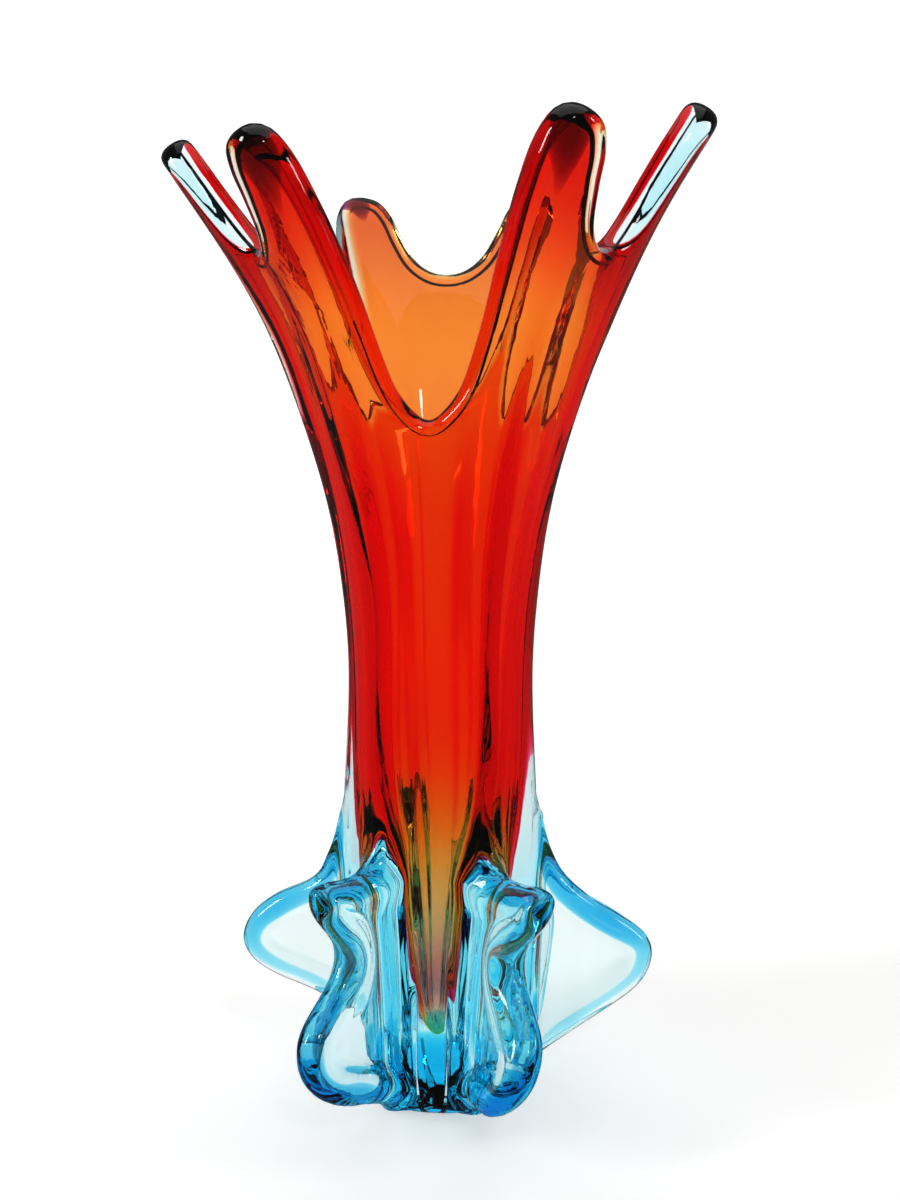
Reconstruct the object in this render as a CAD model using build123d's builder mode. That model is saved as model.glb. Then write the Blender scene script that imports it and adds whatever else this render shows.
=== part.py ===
from build123d import *
import os
from math import cos, radians, sin

# Hand blown art glass vase, in millimetres, +Z up. The origin is the middle of the ground foot.
# Angles run round the vase from its front (-Y) towards its right side (+X).

# ---- Driving dimensions ----
FOOT_PAD_HEIGHT = 14.0      # the solid disc of glass under everything else
RUBY_THICKNESS = 2.5        # horizontal, at the neck
AMBER_THICKNESS = 2.5
LAYER_RISE = 2.5            # each inner bubble is this much shallower than the one round it
RIB_COUNT = 6               # one rib runs up from each fin to each finger
SECTION_POINTS = 12         # one on the crest of each rib and one in each valley
RIM_TRIM = 404.0            # the blown forms are lofted to here, above every finger
CUTTER_SPAN = (12.0, 150.0)  # each rim cutter starts inside the cavity and ends outside the wall
CUTTER_TOP = RIM_TRIM + 20.0

# Outer form from the foot up: height, mean radius, depth of the ribs.
OUTER_STATIONS = [
    (0.0, 34.0, 0.6),
    (6.0, 37.5, 1.6),
    (FOOT_PAD_HEIGHT, 39.0, 3.0),
    (40.0, 41.0, 4.4),
    (75.0, 42.5, 4.4),
    (105.0, 42.5, 3.0),
    (145.0, 39.0, 1.2),
    (185.0, 37.5, 0.8),
    (225.0, 41.0, 0.8),
    (270.0, 51.0, 1.2),
    (310.0, 64.0, 1.8),
    (350.0, 81.5, 2.4),
    (RIM_TRIM, 110.0, 3.0),
]

# Outside of the ruby bubble: it ends in a blunt point high above the foot.
RUBY_STATIONS = [
    (24.0, 3.5, 0.1),
    (33.0, 8.0, 0.2),
    (60.0, 12.5, 0.4),
    (100.0, 19.0, 0.5),
    (130.0, 25.0, 0.5),
    (160.0, 28.3, 0.4),
    (185.0, 29.3, 0.4),
    (225.0, 32.5, 0.5),
    (270.0, 41.0, 0.8),
    (310.0, 52.5, 1.2),
    (350.0, 69.0, 1.6),
    (RIM_TRIM + 2.0, 96.5, 2.0),
]

# Fingers of the rim, left to right round the vase: angle, height of the tip.
FINGERS = [
    (-156.0, 379.0),
    (-86.0, 386.0),
    (-38.0, 378.0),
    (30.0, 383.0),
    (84.0, 399.0),
    (151.0, 382.0),
]
DEEP_VALLEY = 281.0         # floor of the three wide notches, front and both back quarters
SHALLOW_VALLEY = 344.0      # floor of the three notches inside a pair of fingers

# Half of a notch, from its floor to a finger's tip, as shares of its reach and its rise.
DEEP_CURVE = [
    (0.22, 0.035), (0.44, 0.12), (0.60, 0.30), (0.68, 0.52), (0.73, 0.75), (0.79, 0.90), (0.87, 0.975),
]
SHALLOW_CURVE = [(0.25, 0.05), (0.45, 0.22), (0.59, 0.50), (0.67, 0.76), (0.79, 0.93)]
TIP_OVERRUN = 1.1           # each cutter runs on level past the middle of the finger beside it

# Fins: a drawn tongue of glass in a radial plane, as (radius, height) round its edge.
RIGHT_WING_EDGE = [
    (30.0, 100.0),
    (50.0, 95.0),
    (67.0, 81.0),
    (84.0, 68.0),
    (90.0, 57.0),
    (84.0, 43.0),
    (66.0, 29.5),
    (47.0, 17.0),
    (30.0, 9.0),
]
LEFT_WING_EDGE = [
    (30.0, 100.0),
    (50.0, 94.0),
    (67.0, 84.0),
    (80.0, 74.0),
    (84.5, 62.0),
    (77.0, 51.0),
    (60.0, 43.0),
    (45.0, 35.0),
    (30.0, 26.0),
]
HORN_EDGE = [
    (30.0, 96.0),
    (50.0, 102.0),
    (66.0, 109.0),
    (77.5, 104.0),
    (74.0, 91.0),
    (67.0, 79.0),
    (75.0, 66.0),
    (86.0, 54.0),
    (86.5, 39.0),
    (75.0, 25.0),
    (55.0, 17.0),
    (30.0, 12.0),
]
FIN_THICKNESS = 12.0
FIN_EDGE_ROUND = 4.5

# Each fin: name, angle, outline.
FINS = [
    ("fin_front_left", -35.0, HORN_EDGE),
    ("fin_front_right", 26.0, HORN_EDGE),
    ("fin_right", 94.0, RIGHT_WING_EDGE),
    ("fin_back_right", 147.0, HORN_EDGE),
    ("fin_back_left", -153.0, HORN_EDGE),
    ("fin_left", -96.0, LEFT_WING_EDGE),
]


def lobed_section(height, radius, rib_depth):
    """A level section: a closed curve that stands out at each rib and falls in between."""
    step = 360.0 / SECTION_POINTS
    shares = [index / SECTION_POINTS for index in range(SECTION_POINTS + 1)]
    rim = []
    for index in range(SECTION_POINTS):
        angle = radians(index * step)
        reach = radius - rib_depth * cos(RIB_COUNT * angle)
        rim.append((reach * sin(angle), -reach * cos(angle)))
    with BuildSketch(Plane.XY.offset(height)) as section:
        with BuildLine():
            add(Edge.make_spline(rim, periodic=True, parameters=shares))
        make_face()
    return section.sketch


def blown_form(stations):
    """A bubble lofted smoothly through its level sections."""
    with BuildPart() as form:
        loft(sections=[lobed_section(*station) for station in stations])
    return form.part


def inset_stations(stations, inset, rise):
    """The stations of the next bubble inside: smaller by inset and higher by rise."""
    return [(height + rise, max(radius - inset, 0.5 * radius), ribs) for height, radius, ribs in stations]


def radial_plane(angle):
    """A plane through the axis line that faces outwards at this angle, with its y direction up."""
    turn = radians(angle)
    return Plane(origin=(0, 0, 0), x_dir=(cos(turn), sin(turn), 0), z_dir=(sin(turn), -cos(turn), 0))


def notch_outline(left, right, distance):
    """The gap between two neighbouring fingers, as seen from the axis, at this distance from it."""
    left_angle, left_tip = left
    right_angle, right_tip = right
    spread = (right_angle - left_angle) % 360.0
    floor, curve = (DEEP_VALLEY, DEEP_CURVE) if spread > 60.0 else (SHALLOW_VALLEY, SHALLOW_CURVE)
    reach = distance * sin(radians(0.5 * spread))
    outer_reach = TIP_OVERRUN * reach
    left_half = [(-reach * across, floor + (left_tip - floor) * up) for across, up in reversed(curve)]
    right_half = [(reach * across, floor + (right_tip - floor) * up) for across, up in curve]
    left_end = (-reach, left_tip)
    right_end = (reach, right_tip)
    left_corners = [(-outer_reach, CUTTER_TOP), (-outer_reach, left_tip)]
    right_corners = [(outer_reach, right_tip), (outer_reach, CUTTER_TOP)]
    plane = radial_plane(left_angle + 0.5 * spread).offset(distance * cos(radians(0.5 * spread)))
    with BuildSketch(plane) as outline:
        with BuildLine():
            Spline(left_end, *left_half, (0, floor), *right_half, right_end, tangents=((1, 0), (1, 0)))
            Polyline(right_end, *right_corners, *left_corners, left_end)
        make_face()
    return outline.sketch


def notch_cutter(left, right):
    """A wedge through the wall that widens evenly away from the axis, so all layers are cut alike."""
    with BuildPart() as cutter:
        loft(sections=[notch_outline(left, right, distance) for distance in CUTTER_SPAN], ruled=True)
    return cutter.part


def drawn_fin(angle, edge):
    """One fin before it meets the body: a tongue of even thickness with a rounded edge."""
    turn = radians(angle)
    plane = Plane(origin=(0, 0, 0), x_dir=(sin(turn), -cos(turn), 0), z_dir=(-cos(turn), -sin(turn), 0))
    with BuildPart() as tongue:
        with BuildSketch(plane):
            with BuildLine():
                Spline(*edge)
                Line(edge[-1], edge[0])
            make_face()
        extrude(amount=0.5 * FIN_THICKNESS, both=True)
        flat_faces = tongue.faces().filter_by(Axis(plane.origin, plane.z_dir))
        fillet(flat_faces.edges().filter_by(GeomType.BSPLINE), radius=FIN_EDGE_ROUND)
    return tongue.part


# ---- Whole forms, each filled to its outside ----
outer_form = blown_form(OUTER_STATIONS)
ruby_form = blown_form(RUBY_STATIONS)
amber_form = blown_form(inset_stations(RUBY_STATIONS, RUBY_THICKNESS, LAYER_RISE))
cavity_form = blown_form(inset_stations(RUBY_STATIONS, RUBY_THICKNESS + AMBER_THICKNESS, 2 * LAYER_RISE))
cutters = [notch_cutter(left, right) for left, right in zip(FINGERS, FINGERS[1:] + FINGERS[:1])]

os.makedirs("parts", exist_ok=True)

# ---- Foot pad: the bottom of the outer form, solid, with the ground face it stands on ----
with BuildPart() as foot_pad:
    add(outer_form)
    split(bisect_by=Plane.XY.offset(FOOT_PAD_HEIGHT), keep=Keep.BOTTOM)
foot_pad.part.label = "foot_pad"
export_step(foot_pad.part, "parts/foot_pad.step")

# ---- Aqua casing: the thick clear gather over the colour, cut into fingers at the rim ----
with BuildPart() as aqua_casing:
    add(outer_form)
    split(bisect_by=Plane.XY.offset(FOOT_PAD_HEIGHT), keep=Keep.TOP)
    add(ruby_form, mode=Mode.SUBTRACT)
    add(cutters, mode=Mode.SUBTRACT)
aqua_casing.part.label = "aqua_casing"
export_step(aqua_casing.part, "parts/aqua_casing.step")

# ---- Ruby overlay: the thin red bubble inside the casing ----
with BuildPart() as ruby_overlay:
    add(ruby_form)
    add(amber_form, mode=Mode.SUBTRACT)
    add(cutters, mode=Mode.SUBTRACT)
ruby_overlay.part.label = "ruby_overlay"
export_step(ruby_overlay.part, "parts/ruby_overlay.step")

# ---- Amber lining: the innermost bubble, whose inside is the cavity ----
with BuildPart() as amber_lining:
    add(amber_form)
    add(cavity_form, mode=Mode.SUBTRACT)
    add(cutters, mode=Mode.SUBTRACT)
amber_lining.part.label = "amber_lining"
export_step(amber_lining.part, "parts/amber_lining.step")

# ---- Fins: drawn out of the hot glass round the base, each trimmed to the body it grows from ----
for fin_name, fin_angle, fin_edge in FINS:
    with BuildPart() as fin:
        add(drawn_fin(fin_angle, fin_edge))
        add(outer_form, mode=Mode.SUBTRACT)
    fin.part.label = fin_name
    export_step(fin.part, f"parts/{fin_name}.step")
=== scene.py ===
"""A hand blown vase of cased glass: aqua over ruby over amber, with a fingered rim and drawn fins."""

import logging
import math
from dataclasses import dataclass, field
from enum import Enum
from functools import cache

import bpy
import numpy as np
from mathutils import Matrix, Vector


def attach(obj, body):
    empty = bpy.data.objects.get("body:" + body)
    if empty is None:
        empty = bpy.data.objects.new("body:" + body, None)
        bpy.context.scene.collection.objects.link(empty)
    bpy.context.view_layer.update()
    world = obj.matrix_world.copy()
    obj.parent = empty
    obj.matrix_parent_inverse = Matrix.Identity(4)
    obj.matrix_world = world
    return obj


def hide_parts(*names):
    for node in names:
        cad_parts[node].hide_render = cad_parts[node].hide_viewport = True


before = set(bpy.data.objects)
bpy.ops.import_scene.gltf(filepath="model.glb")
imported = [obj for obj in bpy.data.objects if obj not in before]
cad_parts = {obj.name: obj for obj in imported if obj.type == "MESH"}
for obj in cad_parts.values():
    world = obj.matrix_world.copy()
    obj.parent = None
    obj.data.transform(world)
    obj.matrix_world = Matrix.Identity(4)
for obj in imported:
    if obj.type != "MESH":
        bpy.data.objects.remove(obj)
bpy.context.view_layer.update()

log = logging.getLogger("vase")

MM = 0.001
TURN = 2.0 * math.pi
ROOT_BODY = "root"


class Slot(Enum):
    """The material slots of the vase."""

    AQUA = "aqua_glass"
    RUBY = "ruby_glass"
    AMBER = "amber_glass"


class Side(Enum):
    """The two faces of the wall."""

    OUTER = 1.0
    INNER = -1.0


def around_axis(radius: np.ndarray, angles: np.ndarray, heights: np.ndarray) -> np.ndarray:
    """Turn (radius, angle, height) into points: (r sin a, -r cos a, z), so angle 0 is the front.

    Args:
        radius: distances from the axis.
        angles: angles in radians, towards the right side (+X) from the front (-Y).
        heights: heights.

    Returns:
        The points, with x, y and z on a new last axis.
    """
    radius, angles, heights = np.broadcast_arrays(radius, angles, heights)
    return np.stack([radius * np.sin(angles), -radius * np.cos(angles), heights], axis=-1)


def smooth_step(low: float, high: float, value: np.ndarray) -> np.ndarray:
    """Rise smoothly from 0 at low to 1 at high, as 3x^2 - 2x^3 of the share x of the way.

    Args:
        low: where the rise starts.
        high: where the rise ends.
        value: where the curve is read.

    Returns:
        The height of the curve at each value.
    """
    share = np.clip((value - low) / (high - low), 0.0, 1.0)
    return share * share * (3.0 - 2.0 * share)


@dataclass(frozen=True)
class Curve:
    """A smooth curve through a few stations: a natural cubic spline y(x).

    Between two stations y is the cubic that matches both heights and both second derivatives,
    and the second derivatives come from asking that the slope is the same from both sides.
    """

    stations: tuple[tuple[float, float], ...]

    def __call__(self, x: np.ndarray) -> np.ndarray:
        """Read the curve.

        Args:
            x: where to read it, clipped to the first and last station.

        Returns:
            The curve's value at each x.
        """
        knots = np.array([station[0] for station in self.stations])
        values = np.array([station[1] for station in self.stations])
        gaps = np.diff(knots)
        slopes = np.diff(values) / gaps
        matrix = np.eye(len(knots))
        bends = np.zeros(len(knots))
        for index in range(1, len(knots) - 1):
            matrix[index, index - 1] = gaps[index - 1]
            matrix[index, index] = 2.0 * (gaps[index - 1] + gaps[index])
            matrix[index, index + 1] = gaps[index]
            bends[index] = 6.0 * (slopes[index] - slopes[index - 1])
        curvature = np.linalg.solve(matrix, bends)
        x = np.clip(x, knots[0], knots[-1])
        span = np.clip(np.searchsorted(knots, x, side="right") - 1, 0, len(gaps) - 1)
        width = gaps[span]
        after = (x - knots[span]) / width
        before = 1.0 - after
        bend = (before**3 - before) * curvature[span] + (after**3 - after) * curvature[span + 1]
        return before * values[span] + after * values[span + 1] + bend * width**2 / 6.0


def closed_curve(points: np.ndarray, counts: list[int]) -> np.ndarray:
    """Sample a closed centripetal Catmull-Rom curve, each span with its own number of samples.

    Args:
        points: the points that the curve goes through, in order, the last joined to the first.
        counts: samples in the span that starts at each point.

    Returns:
        The samples as rows.
    """
    samples = []
    total = len(points)
    for index in range(total):
        p0, p1, p2, p3 = (points[(index + step) % total] for step in (-1, 0, 1, 2))
        t1 = np.linalg.norm(p1 - p0) ** 0.5
        t2 = t1 + np.linalg.norm(p2 - p1) ** 0.5
        t3 = t2 + np.linalg.norm(p3 - p2) ** 0.5
        t = np.linspace(t1, t2, counts[index], endpoint=False)[:, None]
        a1 = (t1 - t) / t1 * p0 + t / t1 * p1
        a2 = (t2 - t) / (t2 - t1) * p1 + (t - t1) / (t2 - t1) * p2
        a3 = (t3 - t) / (t3 - t2) * p2 + (t - t2) / (t3 - t2) * p3
        b1 = (t2 - t) / t2 * a1 + t / t2 * a2
        b2 = (t3 - t) / (t3 - t1) * a2 + (t - t1) / (t3 - t1) * a3
        samples.append((t2 - t) / (t2 - t1) * b1 + (t - t1) / (t2 - t1) * b2)
    return np.concatenate(samples)


@dataclass(frozen=True)
class Fin:
    """One fin: its name, its angle round the foot, its outline, and how its outer end lifts and turns.

    The outline is (radius, height) from where it leaves the body above to where it meets it below.
    thickness is half the fin's, at its border. The edge fields size the rod of deeper glass in the
    border: half its width, its thickness as a share of the fin's, and what is left of it below.
    """

    name: str
    angle: float
    outline: tuple[tuple[float, float], ...]
    lift: float = 0.0
    twist: float = 0.0
    thickness: float = 6.0
    edge_half: float = 2.0
    edge_fill: float = 0.42
    edge_below: float = 1.0
    body_radius: float = 39.0
    lift_reach: float = 38.0
    lift_from: float = 58.0
    lift_to: float = 94.0
    twist_centre: float = 60.0
    twist_height: float = 40.0
    twist_reach: float = 30.0
    pane_dip: float = 0.3
    pane_depth: float = 2.3

    def edge(self, heights: np.ndarray) -> np.ndarray:
        """The outline's radius at each height."""
        return Curve(tuple((height, radius) for radius, height in reversed(self.outline)))(heights)

    def edge_line(self) -> np.ndarray:
        """The outline as many (radius, height) points, from the bottom up."""
        heights = np.linspace(self.outline[-1][1], self.outline[0][1], 600)
        return np.stack([self.edge(heights), heights], axis=-1)

    def depth(self, radius: np.ndarray, height: np.ndarray) -> np.ndarray:
        """How far each place in the fin's plane lies from the outline: the least distance to its points.

        Args:
            radius: distances from the axis.
            height: heights, of the same shape.

        Returns:
            The depth at each place.
        """
        place = np.stack([radius, height], axis=-1)
        gaps = place[..., None, :] - self.edge_line()
        return np.sqrt((gaps**2).sum(axis=-1)).min(axis=-1)

    def half_thickness(self, depth: np.ndarray) -> np.ndarray:
        """Half the fin's thickness: a quarter circle's rise from the edge, then a slightly thinner pane.

        Args:
            depth: distances from the outline.

        Returns:
            Half the thickness at each depth.
        """
        rise = np.clip(depth / self.thickness, 0.0, 1.0)
        round_edge = self.thickness * np.sqrt(1.0 - (1.0 - rise) ** 2)
        pane = smooth_step(self.thickness, self.pane_depth * self.thickness, depth)
        return round_edge - self.pane_dip * self.thickness * pane

    def place(self, radius: np.ndarray, height: np.ndarray, beside: np.ndarray) -> np.ndarray:
        """Carry places in the flat fin to the vase, with the lift and the twist.

        The lift grows as the 1.5th power of the way out and only above the fin's middle. The twist
        turns what is above its centre one way and what is below it the other.

        Args:
            radius: distance from the axis.
            height: height in the flat fin.
            beside: distance from the fin's middle plane.

        Returns:
            The points.
        """
        out = np.clip(radius - self.body_radius, 0.0, None)
        upper = smooth_step(self.lift_from, self.lift_to, height)
        lifted = (out / self.lift_reach) ** 1.5 * self.lift * upper
        above = (height - self.twist_centre) / self.twist_height
        turned = math.radians(self.twist) * above * np.clip(out / self.twist_reach, 0.0, 1.0)
        bearing = math.radians(self.angle) + turned + beside / radius
        return around_axis(radius, bearing, height + lifted)


BODY_ROOT = ((38.5, 133.0), (42.3, 119.0))
LEFT_WING = (
    *BODY_ROOT, (45.5, 106.0), (48.5, 98.5), (52.0, 92.0), (58.0, 87.5), (66.0, 84.0), (73.0, 80.0),
    (79.0, 75.0), (83.0, 69.0), (84.5, 62.0), (82.0, 55.5), (76.0, 50.0), (68.0, 46.0), (60.0, 43.0),
    (52.0, 39.5), (44.5, 34.5), (36.0, 26.0),
)
RIGHT_WING = (
    *BODY_ROOT, (45.5, 106.0), (48.5, 98.5), (52.0, 92.5), (56.5, 87.5), (62.5, 82.5), (70.0, 77.5),
    (78.5, 72.0), (86.0, 66.0), (90.0, 58.5), (89.0, 50.5), (84.5, 43.0), (76.0, 36.0), (67.0, 30.0),
    (57.0, 23.5), (48.0, 17.5), (41.0, 12.0), (36.0, 6.0),
)
HORN_OUTLINE = (
    *BODY_ROOT, (48.0, 107.5), (57.0, 102.5), (67.0, 99.5), (74.0, 96.0), (76.5, 90.5), (74.0, 85.0),
    (67.5, 80.5), (64.0, 76.0), (65.0, 71.0), (70.5, 65.5), (78.5, 60.0), (85.0, 53.5), (87.5, 45.5),
    (86.0, 36.5), (79.5, 28.0), (69.0, 21.0), (57.0, 16.0), (47.0, 12.0), (40.0, 8.0), (36.0, 3.5),
)


@dataclass(frozen=True)
class Finger:
    """One finger of the rim: its tip's angle and height, how far it leans out, and how dark its end is."""

    angle: float
    tip: float
    lean: float = 0.0
    dark: float = 1.0


@dataclass(frozen=True)
class Notch:
    """The gap between two fingers: its floor, half of it as shares of reach and rise, and the lip's depth."""

    floor: float
    flank: tuple[tuple[float, float], ...]
    lip: float


DEEP_NOTCH = Notch(
    floor=281.0,
    flank=(
        (0.22, 0.035), (0.43, 0.12), (0.58, 0.29), (0.67, 0.52), (0.73, 0.75), (0.79, 0.90), (0.88, 0.978),
    ),
    lip=6.0,
)
SHALLOW_NOTCH = Notch(
    floor=344.0,
    flank=((0.25, 0.05), (0.44, 0.20), (0.57, 0.48), (0.65, 0.74), (0.78, 0.935)),
    lip=4.8,
)
DEEP_SPREAD = math.radians(60.0)


@dataclass
class VaseForm:
    """The shape of the glass, in millimetres: every surface of the vase is read from here.

    Columns run up the vase: each finger has a sector of columns, and the fin under it has the same.
    Angles run from the front (-Y) towards the right side (+X).
    """

    outer: Curve = Curve((
        (0.0, 25.0), (3.0, 29.5), (8.0, 33.0), (16.0, 35.0), (40.0, 36.0), (75.0, 37.5), (100.0, 39.0),
        (125.0, 39.2), (150.0, 37.9), (184.0, 37.0), (217.0, 39.4), (249.0, 44.4), (281.0, 53.0),
        (313.0, 64.3), (344.0, 79.5), (366.0, 93.0), (386.0, 106.0), (404.0, 117.0),
    ))
    ribs: Curve = Curve((
        (0.0, 0.6), (40.0, 0.6), (75.0, 0.6), (100.0, 0.7), (150.0, 0.8),
        (185.0, 0.7), (225.0, 0.8), (270.0, 1.2), (310.0, 1.8), (350.0, 2.4), (404.0, 2.4),
    ))
    cavity: Curve = Curve((
        (60.0, 10.6), (80.0, 13.5), (100.0, 16.7), (130.0, 21.6), (160.0, 24.4), (185.0, 25.0),
        (225.0, 27.8), (249.0, 32.2), (281.0, 40.3), (313.0, 51.0), (344.0, 65.5), (366.0, 78.5),
        (386.0, 91.0), (404.0, 102.0),
    ))
    cavity_floor: float = 29.0
    cavity_cap_top: float = 60.0
    fingers: tuple[Finger, ...] = (
        Finger(-156.0, 379.0, dark=0.3), Finger(-86.0, 386.0, lean=3.0, dark=0.18),
        Finger(-39.0, 378.0, lean=7.0, dark=0.72), Finger(29.0, 384.0, lean=-4.0, dark=0.72),
        Finger(84.0, 399.0, lean=-6.0, dark=0.2), Finger(151.0, 382.0, dark=0.3),
    )
    fins: tuple[Fin, ...] = (
        Fin("fin_back_left", -153.0, HORN_OUTLINE, lift=11.0, twist=3.0, thickness=6.6),
        Fin("fin_left", -96.0, LEFT_WING, thickness=5.8, edge_half=4.2, edge_fill=0.88, edge_below=0.4),
        Fin(
            "fin_front_left", -36.0, HORN_OUTLINE,
            lift=13.0, twist=-2.0, thickness=7.2, edge_half=3.0, edge_fill=0.62,
        ),
        Fin(
            "fin_front_right", 25.0, HORN_OUTLINE,
            lift=12.0, twist=8.0, thickness=7.4, edge_half=3.0, edge_fill=0.62,
        ),
        Fin("fin_right", 94.0, RIGHT_WING, edge_half=4.2, edge_fill=0.88, edge_below=0.35),
        Fin("fin_back_right", 147.0, HORN_OUTLINE, lift=10.0, twist=-3.0, thickness=6.6),
    )
    sector_columns: int = 72
    shoulder: float = 240.0
    fin_zone: float = 118.0
    fin_zone_top: float = 132.0
    foot_radius: float = 40.0
    fin_share: float = 0.82
    fin_root: float = 13.0
    rib_turn: tuple[float, float] = (100.0, 300.0)
    lean_spread: float = 0.34
    lean_heights: tuple[float, float] = (310.0, 385.0)
    level_below: float = 150.0
    rim_radius: float = 100.0
    rim_angles: np.ndarray = field(init=False)
    rim_heights: np.ndarray = field(init=False)
    rim_lip: np.ndarray = field(init=False)
    rim_out: np.ndarray = field(init=False)

    def __post_init__(self) -> None:
        """Work out the rim, which the columns' angles in the upper body follow."""
        self.trace_rim()

    @property
    def columns(self) -> int:
        """The number of columns round the vase."""
        return self.sector_columns * len(self.fingers)

    # ---- Columns ----
    def local_places(self) -> np.ndarray:
        """Each column's place in its sector, from -1 to 1, 0 on the rib."""
        half = 0.5 * self.sector_columns
        return (np.arange(self.sector_columns) + 0.5) / half - 1.0

    def rib_angles(self, heights: np.ndarray) -> np.ndarray:
        """The angle of each rib at each height: a fin's below, its finger's above, smoothly between.

        Args:
            heights: heights, of any shape.

        Returns:
            The angles in radians, with the ribs on a new last axis, rising from rib to rib.
        """
        low = np.radians([fin.angle for fin in self.fins])
        high = np.radians([finger.angle for finger in self.fingers])
        share = smooth_step(*self.rib_turn, heights)[..., None]
        return low + (high - low) * share

    def rib_wave(self, angles: np.ndarray, heights: np.ndarray) -> np.ndarray:
        """A wave that is 1 on each rib and -1 half way to the next: cos(2 pi) of the share between ribs.

        Args:
            angles: angles in radians.
            heights: heights, of the same shape.

        Returns:
            The wave at each place.
        """
        ribs = self.rib_angles(heights)
        first = ribs[..., :1]
        turned = (angles[..., None] - first) % TURN
        starts = ribs - first
        ends = np.concatenate([starts[..., 1:], np.full_like(first, TURN)], axis=-1)
        share = (turned - starts) / (ends - starts)
        inside = (share >= 0.0) & (share < 1.0)
        return np.where(inside, np.cos(TURN * share), 0.0).sum(axis=-1)

    def low_angles(self, radius: float) -> np.ndarray:
        """The columns' angles in the lower body: spread over each fin's root, then over the gap.

        Args:
            radius: the body's radius, which turns the root's width into an angle.

        Returns:
            One angle for each column, in radians, always rising.
        """
        places = self.local_places()
        rows = []
        total = len(self.fins)
        root = self.fin_root / radius
        for index, fin in enumerate(self.fins):
            here = math.radians(fin.angle)
            before = math.radians(self.fins[index - 1].angle) - (TURN if index == 0 else 0.0)
            after = math.radians(self.fins[(index + 1) % total].angle)
            after += TURN if index == total - 1 else 0.0
            knots = [-1.0, -self.fin_share, self.fin_share, 1.0]
            spread = [0.5 * (before + here), here - root, here + root, 0.5 * (here + after)]
            rows.append(np.interp(places, knots, spread))
        return np.concatenate(rows)

    def angles_at(self, heights: np.ndarray) -> np.ndarray:
        """The columns' angles: the rim's in the upper body, turning smoothly into the fins' below.

        Args:
            heights: one height for each row and column.

        Returns:
            The angles in radians, of the same shape.
        """
        share = smooth_step(self.fin_zone, self.shoulder, heights)
        return self.low_angles(self.foot_radius) * (1.0 - share) + self.rim_angles * share

    # ---- Wall ----
    def face_radii(self, angles: np.ndarray, heights: np.ndarray) -> tuple[np.ndarray, np.ndarray]:
        """The outer and inner radius of the wall, measured level.

        Each is the plain profile, plus the rib's depth times the rib wave, plus two slow sines of angle
        and height as a sway, two quicker ones as the optic in the bore, and the fingers' lean.

        Args:
            angles: angles in radians.
            heights: heights.

        Returns:
            The outer and the inner radius at each place.
        """
        wave = self.rib_wave(angles, heights)
        sway = 0.3 * np.sin(3.0 * angles + 0.021 * heights)
        sway = sway + 0.22 * np.sin(5.0 * angles - 0.034 * heights + 1.0)
        optic = 0.3 * np.sin(9.0 * angles + 0.006 * heights + 2.1)
        optic = optic + 0.16 * np.sin(16.0 * angles - 0.004 * heights)
        lean = self.finger_lean(angles, heights)
        settled = smooth_step(8.0, 60.0, heights)
        outer = self.outer(heights) + self.ribs(heights) * wave + (sway + 0.5 * optic) * settled + lean
        inner = self.cavity(heights) + 0.5 * self.ribs(heights) * wave - 0.8 * sway + optic + lean
        return outer, inner

    def finger_lean(self, angles: np.ndarray, heights: np.ndarray) -> np.ndarray:
        """How far each finger leans out of the common flare: a bell round its angle that grows with height.

        Args:
            angles: angles in radians.
            heights: heights.

        Returns:
            What is added to both radii at each place.
        """
        lean = np.zeros_like(heights)
        for finger in self.fingers:
            apart = (angles - math.radians(finger.angle) + math.pi) % TURN - math.pi
            lean = lean + finger.lean * np.exp(-((apart / self.lean_spread) ** 2))
        return lean * smooth_step(*self.lean_heights, heights)

    def middle(self, angles: np.ndarray, heights: np.ndarray) -> np.ndarray:
        """Points half way through the wall."""
        outer, inner = self.face_radii(angles, heights)
        return around_axis(0.5 * (outer + inner), angles, heights)

    def across(self, angles: np.ndarray, heights: np.ndarray) -> np.ndarray:
        """The step from the middle of the wall to its outer face: level low down, square to the wall above.

        Args:
            angles: angles in radians.
            heights: heights.

        Returns:
            The step as a vector at each place.
        """
        outer, inner = self.face_radii(angles, heights)
        probe = 0.5
        above = np.sum(self.face_radii(angles, heights + probe), axis=0)
        below = np.sum(self.face_radii(angles, heights - probe), axis=0)
        slope = 0.5 * (above - below) / (2.0 * probe)
        slope = slope * smooth_step(self.level_below, self.shoulder, heights)
        length = np.sqrt(1.0 + slope * slope)
        half = 0.5 * (outer - inner) / length
        level = half / length
        return np.stack([level * np.sin(angles), -level * np.cos(angles), -slope * level], axis=-1)

    def wall(self, angles: np.ndarray, heights: np.ndarray, side: Side) -> np.ndarray:
        """Points on one face of the wall."""
        return self.middle(angles, heights) + side.value * self.across(angles, heights)

    # ---- Rim ----
    def trace_rim(self) -> None:
        """Find the line that the lip is rolled round.

        The rim's edge is a closed curve through each notch's floor and flanks and each finger's tip.
        The line lies inside it by the lip's depth, square to the edge in the wall's middle surface.
        """
        edge = self.sample_rim(*self.rim_knots())
        angles = edge[:, 0] / self.rim_radius
        lip = edge[:, 2]
        on_edge = self.middle(angles, edge[:, 1])
        along = np.roll(on_edge, -1, axis=0) - np.roll(on_edge, 1, axis=0)
        inward = np.cross(self.across(angles, edge[:, 1]), along)
        inward /= np.linalg.norm(inward, axis=1, keepdims=True)
        if inward[:, 2].mean() > 0.0:
            inward = -inward
        core = on_edge + inward * lip[:, None]
        self.rim_angles = np.unwrap(np.arctan2(core[:, 0], -core[:, 1]))
        self.rim_angles += TURN * np.round((angles[0] - self.rim_angles[0]) / TURN)
        self.rim_heights = core[:, 2]
        self.rim_lip = lip
        self.rim_out = -inward

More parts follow.
